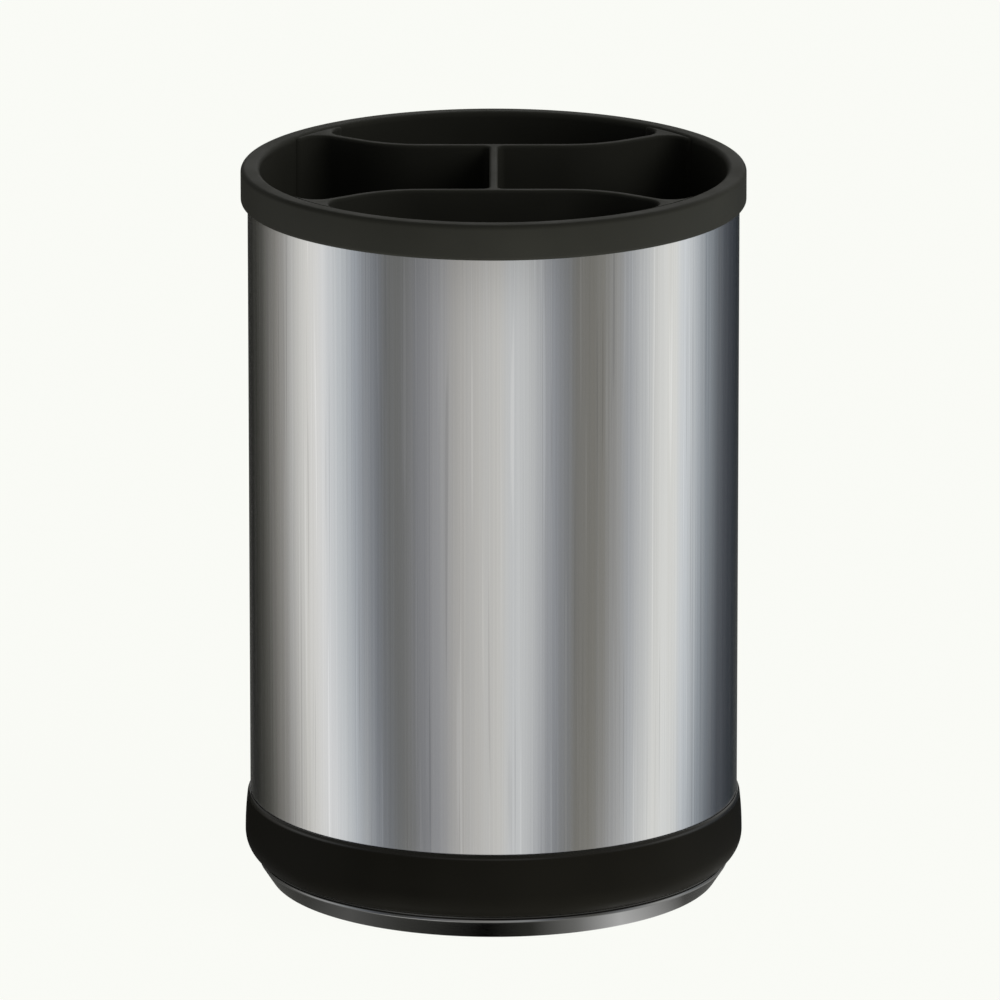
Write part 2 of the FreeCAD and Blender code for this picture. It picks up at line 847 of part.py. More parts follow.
os.makedirs("parts", exist_ok=True)
for piece in pieces:
    piece.Shape.exportStep(f"parts/{piece.Label}.step")
    print(f"{piece.Label}: {len(piece.Shape.Solids)} solids, {piece.Shape.Volume:.1f} mm3")
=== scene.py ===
import math

import bmesh
import bpy
from mathutils import Matrix, Vector


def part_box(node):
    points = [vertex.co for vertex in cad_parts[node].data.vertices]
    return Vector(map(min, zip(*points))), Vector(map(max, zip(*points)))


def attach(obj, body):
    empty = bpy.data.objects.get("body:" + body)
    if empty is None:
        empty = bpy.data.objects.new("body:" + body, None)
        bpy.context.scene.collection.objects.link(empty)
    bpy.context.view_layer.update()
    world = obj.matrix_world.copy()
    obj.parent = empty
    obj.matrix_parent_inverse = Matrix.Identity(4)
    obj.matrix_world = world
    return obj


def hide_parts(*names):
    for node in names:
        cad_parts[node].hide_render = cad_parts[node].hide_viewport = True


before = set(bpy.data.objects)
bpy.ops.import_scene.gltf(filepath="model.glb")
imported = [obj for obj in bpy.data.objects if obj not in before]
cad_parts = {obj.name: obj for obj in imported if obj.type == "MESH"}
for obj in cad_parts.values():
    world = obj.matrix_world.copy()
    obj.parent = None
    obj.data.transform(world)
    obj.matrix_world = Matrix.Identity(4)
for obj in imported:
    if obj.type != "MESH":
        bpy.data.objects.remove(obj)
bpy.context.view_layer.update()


# Turntable foot: a shallow dish of glossy black plastic, injection moulded. Its hub runs on the
# base cup's spigot, its floor carries the lower ball race and round recesses below take the pads.
def eased_outline(corners, steps=8):
    """The points of a closed outline whose corners are (x, y, rounding radius)."""
    points = []
    for index, (x, y, radius) in enumerate(corners):
        corner = Vector((x, y))
        if radius == 0:
            points.append(corner)
            continue
        before = (Vector(corners[index - 1][:2]) - corner).normalized()
        after = (Vector(corners[(index + 1) % len(corners)][:2]) - corner).normalized()
        half_angle = before.angle(after) / 2
        centre = corner + (before + after).normalized() * radius / math.sin(half_angle)
        first = corner + before * radius / math.tan(half_angle) - centre
        last = corner + after * radius / math.tan(half_angle) - centre
        turn = first.angle_signed(last)
        for step in range(steps + 1):
            points.append(centre + Matrix.Rotation(-turn * step / steps, 2) @ first)
    return points


def join_rings(form, lower, upper):
    """Makes the faces between two closed rings; a ring drawn in to one point gives triangles."""
    count = len(lower)
    for index in range(count):
        following = (index + 1) % count
        loop = [lower[index], lower[following], upper[following], upper[index]]
        corners = list(dict.fromkeys(loop))
        if len(corners) > 2:
            form.faces.new(corners)


def finished_mesh(name, form):
    """Turns the faces of a closed form outwards and writes it to a new mesh."""
    bmesh.ops.recalc_face_normals(form, faces=form.faces)
    mesh = bpy.data.meshes.new(name)
    form.to_mesh(mesh)
    form.free()
    return mesh


def turned_mesh(name, corners, turns=256, steps=8):
    """A closed mesh made by turning a closed outline of (radius, height, rounding) about Z."""
    form = bmesh.new()
    angles = [2 * math.pi * turn / turns for turn in range(turns)]
    rings = []
    for radius, height in eased_outline(corners, steps):
        if radius == 0:
            rings.append([form.verts.new((0, 0, height))] * turns)
            continue
        places = [(radius * math.cos(angle), radius * math.sin(angle), height) for angle in angles]
        rings.append([form.verts.new(place) for place in places])
    for lower, upper in zip(rings, rings[1:] + rings[:1]):
        join_rings(form, lower, upper)
    return finished_mesh(name, form)


sharp_angle = math.radians(38)


def smooth(mesh):
    """Makes the faces smooth, with breaks at the sharp edges."""
    mesh.shade_smooth()
    mesh.set_sharp_from_angle(angle=sharp_angle)


def dress(piece, finish):
    """Gives a piece one finish all over."""
    piece.data.materials.clear()
    piece.data.materials.append(finish)


def new_piece(name, mesh, finish=None):
    """A linked object for a mesh, smooth and, where a finish is given, dressed in it."""
    smooth(mesh)
    piece = bpy.data.objects.new(name, mesh)
    bpy.context.scene.collection.objects.link(piece)
    if finish:
        dress(piece, finish)
    return piece


def make_plain(piece):
    """Turns what a piece's modifiers make into its own plain mesh."""
    ready = piece.evaluated_get(bpy.context.evaluated_depsgraph_get())
    mesh = bpy.data.meshes.new_from_object(ready)
    piece.modifiers.clear()
    piece.data = mesh


spin_seed = 7


def ring_tree():
    """Repeats one piece at even steps on a ring about Z, each copy spun about itself by chance."""
    tree = bpy.data.node_groups.new("ring_of_pieces", "GeometryNodeTree")
    inputs = {}
    for label, kind in (
        ("Piece", "NodeSocketGeometry"),
        ("Count", "NodeSocketInt"),
        ("Ring Radius", "NodeSocketFloat"),
        ("First Angle", "NodeSocketFloat"),
        ("Spin", "NodeSocketFloat"),
        ("Finish", "NodeSocketMaterial"),
    ):
        socket = tree.interface.new_socket(label, in_out="INPUT", socket_type=kind)
        inputs[label] = socket.identifier
    tree.interface.new_socket("Ring", in_out="OUTPUT", socket_type="NodeSocketGeometry")
    given = tree.nodes.new("NodeGroupInput")
    circle = tree.nodes.new("GeometryNodeMeshCircle")
    turned = tree.nodes.new("GeometryNodeTransform")
    first_turn = tree.nodes.new("ShaderNodeCombineXYZ")
    chance = tree.nodes.new("FunctionNodeRandomValue")
    own_turn = tree.nodes.new("ShaderNodeCombineXYZ")
    copies = tree.nodes.new("GeometryNodeInstanceOnPoints")
    real = tree.nodes.new("GeometryNodeRealizeInstances")
    dressed = tree.nodes.new("GeometryNodeSetMaterial")
    result = tree.nodes.new("NodeGroupOutput")
    chance.inputs["Seed"].default_value = spin_seed
    number_range = [socket for socket in chance.inputs if socket.type == "VALUE"]
    number = next(socket for socket in chance.outputs if socket.type == "VALUE")
    for start, end in (
        (given.outputs["Count"], circle.inputs["Vertices"]),
        (given.outputs["Ring Radius"], circle.inputs["Radius"]),
        (given.outputs["First Angle"], first_turn.inputs["Z"]),
        (circle.outputs["Mesh"], turned.inputs["Geometry"]),
        (first_turn.outputs["Vector"], turned.inputs["Rotation"]),
        (given.outputs["Spin"], number_range[1]),
        (number, own_turn.inputs["Z"]),
        (turned.outputs["Geometry"], copies.inputs["Points"]),
        (given.outputs["Piece"], copies.inputs["Instance"]),
        (own_turn.outputs["Vector"], copies.inputs["Rotation"]),
        (copies.outputs["Instances"], real.inputs["Geometry"]),
        (real.outputs["Geometry"], dressed.inputs["Geometry"]),
        (given.outputs["Finish"], dressed.inputs["Material"]),
        (dressed.outputs["Geometry"], result.inputs["Ring"]),
    ):
        tree.links.new(start, end)
    return tree, inputs


ring_of_pieces, ring_inputs = ring_tree()


def ringed(piece, count, ring_radius, first_angle=0.0, spin=0.0, finish=None):
    """Turns a single piece into one mesh of like pieces on a ring."""
    ring = piece.modifiers.new("ring", "NODES")
    ring.node_group = ring_of_pieces
    values = {
        "Count": count,
        "Ring Radius": ring_radius,
        "First Angle": first_angle,
        "Spin": spin,
        "Finish": finish,
    }
    for label, value in values.items():
        ring[ring_inputs[label]] = value
    make_plain(piece)
    return piece


def join_with(piece, tool, operation, finish=None):
    """Cuts a tool out of a piece, or adds it, and removes the tool."""
    boolean = piece.modifiers.new("shape", "BOOLEAN")
    boolean.operation = operation
    boolean.solver = "EXACT"
    boolean.object = tool
    make_plain(piece)
    smooth(piece.data)
    bpy.data.objects.remove(tool)
    if finish:
        dress(piece, finish)


def put(tree, kind, inputs=None, **options):
    """Adds a shader node; an input is given a plain value or another node's output."""
    added = tree.nodes.new(kind)
    for name, value in options.items():
        setattr(added, name, value)
    for name, value in (inputs or {}).items():
        if isinstance(value, bpy.types.NodeSocket):
            tree.links.new(value, added.inputs[name])
        else:
            added.inputs[name].default_value = value
    return added


def new_finish(name):
    """An empty finish: its node tree, its shader and the piece's own coordinates."""
    finish = bpy.data.materials.new(name)
    finish.use_nodes = True
    tree = finish.node_tree
    place = put(tree, "ShaderNodeTexCoord").outputs["Object"]
    return finish, tree, tree.nodes["Principled BSDF"], place


def noise(tree, place, scale, detail=2.0):
    """A soft random pattern with so many patches to the metre."""
    pattern = {"Vector": place, "Scale": scale, "Detail": detail}
    return put(tree, "ShaderNodeTexNoise", pattern).outputs["Fac"]


def rising(tree, value, start, end, low=0.0, high=1.0):
    """Goes from low to high while a value goes from start to end."""
    limits = {"Value": value, "From Min": start, "From Max": end, "To Min": low, "To Max": high}
    return put(tree, "ShaderNodeMapRange", limits).outputs["Result"]


noise_low = 0.3
noise_high = 0.7


def ranged(tree, value, low=0.0, high=1.0):
    """Stretches the middle of a noise over a range."""
    return rising(tree, value, noise_low, noise_high, low, high)


def blended(tree, share, first, second):
    """A mix of two colours, each a plain colour or another node's output."""
    mix = put(tree, "ShaderNodeMix", data_type="RGBA")
    sockets = [socket for socket in mix.inputs if socket.enabled]
    for socket, value in zip(sockets, (share, first, second)):
        if isinstance(value, bpy.types.NodeSocket):
            tree.links.new(value, socket)
        else:
            socket.default_value = (*value, 1.0)
    return next(socket for socket in mix.outputs if socket.enabled)


mould_tone_patches = 45.0
mould_shine_patches = 90.0


def moulded_finish(name, dark, pale, roughness, grain_size, grain_depth, specular):
    """Moulded plastic: slow changes of tone, a fine grain and patches of more and less shine."""
    finish, tree, shader, place = new_finish(name)
    tone = ranged(tree, noise(tree, place, mould_tone_patches))
    grain = noise(tree, place, 1 / grain_size, detail=1.0)
    shine = noise(tree, place, mould_shine_patches, detail=4.0)
    tree.links.new(blended(tree, tone, dark, pale), shader.inputs["Base Color"])
    tree.links.new(ranged(tree, shine, *roughness), shader.inputs["Roughness"])
    bump = put(tree, "ShaderNodeBump", {"Height": grain, "Distance": grain_depth})
    tree.links.new(bump.outputs["Normal"], shader.inputs["Normal"])
    shader.inputs["Specular IOR Level"].default_value = specular
    return finish


foot_low, foot_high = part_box("turntable_foot")
lower_race_low, lower_race_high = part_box("lower_race")
pads_low, pads_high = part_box("anti_slip_pads")
foot_under = foot_low.z
foot_plate_top = 0.0034
foot_rim_top = 0.0064
foot_flat_radius = 0.05
foot_radius = 0.0523
foot_edge_round = 0.0015
foot_lip_radius = 0.0553
foot_lip_top = 0.00564
foot_lip_height = 0.0007
foot_lip_lean = 0.00008
foot_lip_round = 0.0003
foot_top_radius = 0.0528
foot_rim_bore = 0.0508
foot_fillet = 0.0006
foot_fine_round = 0.0004
race_seat_gap = 0.0003
race_seat_level = lower_race_low.z
race_seat_radius = lower_race_high.x + race_seat_gap
race_seat_bore = 0.0362
hub_bore = 0.00405
hub_bore_round = 0.0003
hub_recess = 0.0085
hub_radius = 0.0105
hub_under = 0.0042
hub_top = foot_high.z
pad_count = 6
pad_radius = 0.006
pad_gap = 0.0003
pad_pitch = pads_high.x - pad_radius
pad_recess_top = pads_high.z
pad_recess_round = 0.0002
foot_gloss_index = 2.0

foot_gloss = moulded_finish(
    "foot_gloss_black",
    dark=(0.0035, 0.0035, 0.0032),
    pale=(0.0055, 0.0055, 0.005),
    roughness=(0.1, 0.18),
    grain_size=0.0016,
    grain_depth=0.000004,
    specular=1.0,
)
foot_gloss.node_tree.nodes["Principled BSDF"].inputs["IOR"].default_value = foot_gloss_index
foot = new_piece("turntable_foot_dish", turned_mesh("turntable_foot_dish", [
    (hub_bore, hub_under, 0),
    (hub_recess, hub_under, foot_fine_round),
    (hub_recess, foot_under, 0),
    (foot_flat_radius, foot_under, 0),
    (foot_radius, foot_under, foot_edge_round),
    (foot_lip_radius, foot_lip_top - foot_lip_height, foot_lip_round),
    (foot_lip_radius - foot_lip_lean, foot_lip_top, foot_lip_round),
    (foot_top_radius, foot_lip_top, 0),
    (foot_top_radius, foot_rim_top, foot_fillet),
    (foot_rim_bore, foot_rim_top, foot_fine_round),
    (foot_rim_bore, foot_plate_top, foot_fillet),
    (race_seat_radius, foot_plate_top, 0),
    (race_seat_radius, race_seat_level, 0),
    (race_seat_bore, race_seat_level, 0),
    (race_seat_bore, foot_plate_top, 0),
    (hub_radius, foot_plate_top, foot_fillet),
    (hub_radius, hub_top, foot_fine_round),
    (hub_bore, hub_top, hub_bore_round),
]))
recess_tool = new_piece("pad_recess_tool", turned_mesh("pad_recess_tool", [
    (0, pads_low.z, 0),
    (pad_radius + pad_gap, pads_low.z, 0),
    (pad_radius + pad_gap, pad_recess_top, pad_recess_round),
    (0, pad_recess_top, 0),
], turns=64))
join_with(foot, ringed(recess_tool, pad_count, pad_pitch), "DIFFERENCE", foot_gloss)
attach(foot, "foot")
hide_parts("turntable_foot")


# Anti-slip pads: soft black rubber discs, punched from sheet and glued into the foot's recesses.
# They stand a little proud, so that the holder rests on them alone.
pad_under_round = 0.0003
pad_top_round = 0.0001
pad_finish = moulded_finish(
    "pad_rubber_matt",
    dark=(0.014, 0.014, 0.013),
    pale=(0.024, 0.024, 0.022),
    roughness=(0.75, 0.92),
    grain_size=0.00025,
    grain_depth=0.00003,
    specular=0.3,
)
pads = new_piece("rubber_pads", turned_mesh("rubber_pads", [
    (0, pads_low.z, 0),
    (pad_radius, pads_low.z, pad_under_round),
    (pad_radius, pad_recess_top, pad_top_round),
    (0, pad_recess_top, 0),
], turns=64))
ringed(pads, pad_count, pad_pitch, finish=pad_finish)
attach(pads, "foot")
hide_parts("anti_slip_pads")


# Ball bearing: two pressed steel rings with a ball groove, a nylon cage and bright steel balls.
# The lower ring lies in the foot, the upper one under the base cup, and the cage floats between.
metal_cloud_patches = 120.0
metal_cloud_share = 0.72
metal_swirl_stretch = 5.0
metal_swirl_depth = 0.000003


def pressed_steel(name, colour, roughness, swirl_size):
    """Bare steel with clouds of darker tone and a fine pattern drawn out along the upright axis."""
    finish, tree, shader, place = new_finish(name)
    drawn_out = {"Vector": place, "Scale": (1.0, 1.0, 1 / metal_swirl_stretch)}
    stretched = put(tree, "ShaderNodeMapping", drawn_out).outputs["Vector"]
    swirl = noise(tree, stretched, 1 / swirl_size, detail=3.0)
    cloud = ranged(tree, noise(tree, place, metal_cloud_patches, detail=3.0))
    darker = tuple(metal_cloud_share * part for part in colour)
    tree.links.new(blended(tree, cloud, darker, colour), shader.inputs["Base Color"])
    tree.links.new(ranged(tree, swirl, *roughness), shader.inputs["Roughness"])
    bump = put(tree, "ShaderNodeBump", {"Height": swirl, "Distance": metal_swirl_depth})
    tree.links.new(bump.outputs["Normal"], shader.inputs["Normal"])
    shader.inputs["Metallic"].default_value = 1.0
    return finish


race_finish = pressed_steel(
    "race_steel", colour=(0.48, 0.47, 0.45), roughness=(0.28, 0.45), swirl_size=0.0006
)
dress(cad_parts["lower_race"], race_finish)
dress(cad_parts["upper_race"], race_finish)

cage_finish = moulded_finish(
    "cage_natural_nylon",
    dark=(0.55, 0.53, 0.46),
    pale=(0.64, 0.62, 0.55),
    roughness=(0.35, 0.5),
    grain_size=0.0004,
    grain_depth=0.00001,
    specular=0.4,
)
dress(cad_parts["ball_cage"], cage_finish)

balls_low, balls_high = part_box("steel_balls")
ball_count = 12
ball_pitch = 0.04
ball_radius = (balls_high.z - balls_low.z) / 2
ball_level = (balls_high.z + balls_low.z) / 2
ball_steps = 24
ball_finish = pressed_steel(
    "ball_polished_steel", colour=(0.66, 0.66, 0.65), roughness=(0.06, 0.14), swirl_size=0.0004
)
ball_profile = [
    (
        ball_radius * math.sin(math.pi * step / ball_steps) if 0 < step < ball_steps else 0,
        ball_level - ball_radius * math.cos(math.pi * step / ball_steps),
        0,
    )
    for step in range(ball_steps + 1)
]
balls = new_piece("bearing_balls", turned_mesh("bearing_balls", ball_profile, turns=36))
ringed(balls, ball_count, ball_pitch, finish=ball_finish)
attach(balls, "ball_ring")
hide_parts("steel_balls")


# Base cup: satin black plastic moulding. Its bulged band with a rounded lip grips the bottom of
# the sleeve, its skirt hides the bearing, and the spigot under its floor carries the foot.
def swelled(upright, end, steps):
    """The places on an arc that is upright at its first place and leans inwards to its last."""
    rise = end[1] - upright[1]
    depth = upright[0] - end[0]
    radius = (rise ** 2 + depth ** 2) / (2 * depth)
    full_turn = math.asin(rise / radius)
    turns = [full_turn * step / steps for step in range(steps + 1)]
    return [
        (upright[0] - radius * (1 - math.cos(turn)), upright[1] + radius * math.sin(turn), 0)
        for turn in turns
    ]


def worked_out(tree, operation, *values):
    """The outcome of one step of arithmetic on plain numbers and other nodes' outputs."""
    step = put(tree, "ShaderNodeMath", dict(enumerate(values)), operation=operation)
    return step.outputs["Value"]


def polish_edges(finish, low, high, width, roughness):
    """Gives a band a gloss on its lower and upper edge, where the mould is polished."""
    tree = finish.node_tree
    place = put(tree, "ShaderNodeTexCoord").outputs["Object"]
    level = put(tree, "ShaderNodeSeparateXYZ", {"Vector": place}).outputs["Z"]
    from_middle = worked_out(tree, "SUBTRACT", level, (low + high) / 2)
    either_way = worked_out(tree, "ABSOLUTE", from_middle)
    reach = (high - low) / 2
    polish = rising(tree, either_way, reach - width, reach - width / 2)
    shader = tree.nodes["Principled BSDF"]
    tree.links.new(polish, shader.inputs["Coat Weight"])
    shader.inputs["Coat Roughness"].default_value = roughness


base_low, base_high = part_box("base_cup")
sleeve_low, sleeve_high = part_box("steel_sleeve")
upper_race_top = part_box("upper_race")[1].z
base_floor_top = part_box("weight_plate")[0].z
base_floor_wall = 0.003
base_under = base_floor_top - base_floor_wall
base_fine_round = 0.0003
base_fillet = 0.0006
spigot_radius = 0.004
spigot_end = base_low.z
pivot_pilot = 0.00205
pivot_boss_radius = 0.005
pivot_boss_height = 0.005
pivot_boss_top = base_floor_top + pivot_boss_height
skirt_bore = 0.054
skirt_top_round = 0.0005
skirt_end_round = 0.0004
band_bottom = 0.00567
band_land = 0.0003
band_top = base_high.z
band_radius = base_high.x
band_bulge_level = 0.01204
band_edge_radius = 0.0549
band_edge_round = 0.0001
band_lip_radius = 0.0581
band_lip_level = 0.0207
band_lip_edge = 0.0576
band_polish_width = 0.0012
band_polish_roughness = 0.15
sleeve_radius = sleeve_high.x
sleeve_wall = 0.0005
sleeve_bore = sleeve_radius - sleeve_wall
sleeve_seat = sleeve_low.z
sleeve_outer_gap = 0.0001
sleeve_inner_gap = 0.0003
lip_bore = sleeve_radius + sleeve_outer_gap
upstand_radius = sleeve_bore - sleeve_inner_gap
upstand_bore = 0.054
upstand_height = 0.007
upstand_top = base_floor_top + upstand_height
screw_count = 4
screw_pitch = 0.028
screw_first_angle = math.pi / screw_count
screw_hole_radius = 0.00175

base_black = moulded_finish(
    "base_satin_black",
    dark=(0.0112, 0.0105, 0.0082),
    pale=(0.0144, 0.0135, 0.0105),
    roughness=(0.36, 0.46),
    grain_size=0.0005,
    grain_depth=0.000006,
    specular=0.02,
)
polish_edges(base_black, band_bottom, band_top, band_polish_width, band_polish_roughness)
band_bulge = (band_radius, band_bulge_level)
band_lip = (band_lip_radius, band_lip_level)
lower_swell = swelled(band_bulge, (band_edge_radius, band_bottom + band_land), steps=20)
upper_swell = swelled(band_bulge, band_lip, steps=16)
rounded_lip = swelled(band_lip, (band_lip_edge, band_top), steps=8)
base = new_piece("base_cup_band", turned_mesh("base_cup_band", [
    (pivot_pilot, spigot_end, 0),
    (spigot_radius, spigot_end, base_fine_round),
    (spigot_radius, base_under, base_fine_round),
    (race_seat_bore, base_under, 0),
    (race_seat_bore, upper_race_top, 0),
    (race_seat_radius, upper_race_top, 0),
    (race_seat_radius, base_under, 0),
    (skirt_bore, base_under, skirt_top_round),
    (skirt_bore, band_bottom, skirt_end_round),
    (band_edge_radius, band_bottom, band_edge_round),
    *reversed(lower_swell),
    *upper_swell[1:],
    *rounded_lip[1:],
    (lip_bore, band_top, 0),
    (lip_bore, sleeve_seat, 0),
    (upstand_radius, sleeve_seat, 0),
    (upstand_radius, upstand_top, base_fine_round),
    (upstand_bore, upstand_top, base_fine_round),
    (upstand_bore, base_floor_top, base_fillet),
    (pivot_boss_radius, base_floor_top, base_fillet),
    (pivot_boss_radius, pivot_boss_top, base_fine_round),
    (pivot_pilot, pivot_boss_top, 0),
]))
hole_tool = new_piece("screw_hole_tool", turned_mesh("screw_hole_tool", [
    (0, base_under - screw_hole_radius, 0),
    (screw_hole_radius, base_under - screw_hole_radius, 0),
    (screw_hole_radius, base_floor_top + screw_hole_radius, 0),
    (0, base_floor_top + screw_hole_radius, 0),
], turns=32))
hole_ring = ringed(hole_tool, screw_count, screw_pitch, screw_first_angle)
join_with(base, hole_ring, "DIFFERENCE", base_black)
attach(base, "canister")
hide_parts("base_cup")


# Pivot screw and washer: zinc plated. The screw goes up from below into the base cup's spigot and
# its wide washer keeps the foot from dropping off; both show in the hub's recess under the foot.
def cross_tool(name, width, length, face, depth):
    """The form of a cross recess, narrower at its bottom, to cut into a screw's face from below."""
    narrowing = 0.7
    form = bmesh.new()
    half = width / 2
    reach = length / 2
    corner = [(half, -reach), (half, -half), (reach, -half)]
    outline = []
    for turn in range(4):
        outline += [Matrix.Rotation(turn * math.pi / 2, 2) @ Vector(place) for place in corner]
    lower = [form.verts.new((x, y, face - depth)) for x, y in outline]
    upper = [form.verts.new((narrowing * x, narrowing * y, face + depth)) for x, y in outline]
    form.faces.new(list(reversed(lower)))
    form.faces.new(upper)
    join_rings(form, lower, upper)
    return new_piece(name, finished_mesh(name, form))


pivot_low, pivot_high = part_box("pivot_screw")
washer_low, washer_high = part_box("pivot_washer")
washer_under = washer_low.z
washer_radius = washer_high.x
washer_round = 0.0003
washer_fine_round = 0.0001
pivot_radius = 0.002
pivot_head_radius = pivot_high.x
pivot_head_under = pivot_low.z
pivot_head_round = 0.0008
pivot_neck_round = 0.0002
pivot_tip = pivot_high.z
pivot_point = 0.002
pivot_drive_width = 0.001
pivot_drive_length = 0.0044
pivot_drive_depth = 0.0013

zinc_finish = pressed_steel(
    "zinc_plate", colour=(0.58, 0.6, 0.62), roughness=(0.22, 0.38), swirl_size=0.0003
)
pivot = new_piece("pivot_screw_zinc", turned_mesh("pivot_screw_zinc", [
    (0, pivot_head_under, 0),
    (pivot_head_radius, pivot_head_under, pivot_head_round),
    (pivot_head_radius, washer_under, pivot_neck_round),
    (pivot_radius, washer_under, 0),
    (pivot_radius, pivot_tip - pivot_point, 0),
    (0, pivot_tip, 0),
], turns=64))
pivot_drive = cross_tool(
    "pivot_drive_tool", pivot_drive_width, pivot_drive_length, pivot_head_under, pivot_drive_depth
)
join_with(pivot, pivot_drive, "DIFFERENCE", zinc_finish)
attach(pivot, "canister")
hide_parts("pivot_screw")

washer = new_piece("pivot_washer_zinc", turned_mesh("pivot_washer_zinc", [
    (pivot_pilot, washer_under, washer_fine_round),
    (washer_radius, washer_under, washer_round),
    (washer_radius, spigot_end, washer_fine_round),
    (pivot_pilot, spigot_end, washer_fine_round),
], turns=96), zinc_finish)
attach(washer, "canister")
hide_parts("pivot_washer")


# Weight plate: a ring cut from thick steel plate with mill scale left on it. It lies loose on the
# base cup's floor, round the liner's screw bosses, and keeps a full holder from tipping.
plate_finish = pressed_steel(
    "plate_mill_scale", colour=(0.2, 0.195, 0.19), roughness=(0.45, 0.65), swirl_size=0.0015
)
dress(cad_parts["weight_plate"], plate_finish)


# Steel sleeve: thin stainless sheet rolled to a tube and brushed along its height. It stands in
# the base cup's groove, and its top is hidden in the groove of the rim.
steel_cool = (0.62, 0.632, 0.65)
steel_warm = (0.652, 0.64, 0.615)
steel_pale = (0.72, 0.72, 0.72)
steel_pale_share = 0.22
steel_dull = (0.4, 0.4, 0.4)
steel_dull_share = 0.2
scratch_bright = (0.82, 0.82, 0.82)
scratch_bright_share = 0.38
scratch_bright_span = (0.7, 0.78)
scratch_dark = (0.3, 0.3, 0.3)
scratch_dark_share = 0.28
scratch_dark_span = (0.28, 0.2)
brush_roughness = (0.15, 0.21)
brush_depth = 0.000012
brush_hair_share = 0.25
brush_anisotropy = 0.35


def brushed_steel_finish():
    """Upright brush lines of several widths, which tint, roughen and tilt the surface."""
    finish, tree, shader, place = new_finish("brushed_stainless")

    def streaks(width, length, detail):
        """A pattern drawn out along the height, of streaks so wide and so long."""
        size = {"Vector": place, "Scale": (1 / width, 1 / width, 1 / length)}
        lines = put(tree, "ShaderNodeMapping", size).outputs["Vector"]
        return noise(tree, lines, 1.0, detail)

    hair = streaks(width=0.00024, length=0.2, detail=2.0)
    lines = streaks(width=0.0011, length=0.5, detail=2.0)
    bands = streaks(width=0.006, length=1.5, detail=1.0)
    scratches = streaks(width=0.0007, length=0.09, detail=0.0)
    tint = blended(tree, ranged(tree, bands), steel_cool, steel_warm)
    paler = blended(tree, ranged(tree, lines, high=steel_pale_share), tint, steel_pale)
    duller = blended(tree, ranged(tree, hair, high=steel_dull_share), paler, steel_dull)
    bright_marks = rising(tree, scratches, *scratch_bright_span, high=scratch_bright_share)
    brighter = blended(tree, bright_marks, duller, scratch_bright)
    dark_marks = rising(tree, scratches, *scratch_dark_span, high=scratch_dark_share)
    marked = blended(tree, dark_marks, brighter, scratch_dark)
    tree.links.new(marked, shader.inputs["Base Color"])
    tree.links.new(ranged(tree, lines, *brush_roughness), shader.inputs["Roughness"])
    relief = worked_out(tree, "MULTIPLY_ADD", hair, brush_hair_share, lines)
    bump = put(tree, "ShaderNodeBump", {"Height": relief, "Distance": brush_depth})
    tree.links.new(bump.outputs["Normal"], shader.inputs["Normal"])
    around = put(tree, "ShaderNodeTangent", direction_type="RADIAL", axis="Z")
    tree.links.new(around.outputs["Tangent"], shader.inputs["Tangent"])
    shader.inputs["Metallic"].default_value = 1.0
    shader.inputs["Anisotropic"].default_value = brush_anisotropy
    return finish


sleeve_top = sleeve_high.z
sleeve_edge_round = 0.0001
sleeve = new_piece("brushed_sleeve", turned_mesh("brushed_sleeve", [
    (sleeve_bore, sleeve_seat, sleeve_edge_round),
    (sleeve_radius, sleeve_seat, sleeve_edge_round),
    (sleeve_radius, sleeve_top, sleeve_edge_round),
    (sleeve_bore, sleeve_top, sleeve_edge_round),
], turns=384, steps=2), brushed_steel_finish())
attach(sleeve, "canister")
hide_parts("steel_sleeve")


# Inner liner: a deep bucket of satin black plastic with a fine moulded grain. Its rim hooks over
# the top of the sleeve; two ribs on its floor hold the divider and bosses below take the screws.
def eased_block(name, low, high, round_radius):
    """A block between two corners with eased edges."""
    form = bmesh.new()
    bmesh.ops.create_cube(form, size=1.0)
    middle = (Vector(low) + Vector(high)) / 2
    size = Vector(high) - Vector(low)
    bmesh.ops.scale(form, vec=size, verts=form.verts)
    bmesh.ops.translate(form, vec=middle, verts=form.verts)
    bmesh.ops.bevel(
        form, geom=form.edges, offset=round_radius, segments=3, profile=0.5, affect="EDGES"
    )
    return new_piece(name, finished_mesh(name, form))


liner_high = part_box("inner_liner")[1]
divider_low, divider_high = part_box("divider")
overall_height = liner_high.z
rim_radius = liner_high.x
rim_under = 0.1641
rim_under_round = 0.0009
rim_top_round = 0.0012
mouth_radius = 0.0545
mouth_round = 0.0013
liner_radius = 0.0565
liner_foot_radius = 0.056
liner_foot_round = 0.003
liner_floor_radius = 0.054
liner_floor_round = 0.004
liner_floor_top = divider_low.z
liner_floor_wall = 0.0024
liner_under = liner_floor_top - liner_floor_wall
floor_middle = (liner_under + liner_floor_top) / 2
boss_radius = 0.00375
boss_pilot = 0.00155
boss_round = 0.0003
cross_wall = 0.002
stop_rib_gap = 0.0003
stop_rib_wall = 0.0016
stop_rib_length = 0.026
stop_rib_height = 0.004
stop_rib_round = 0.0003

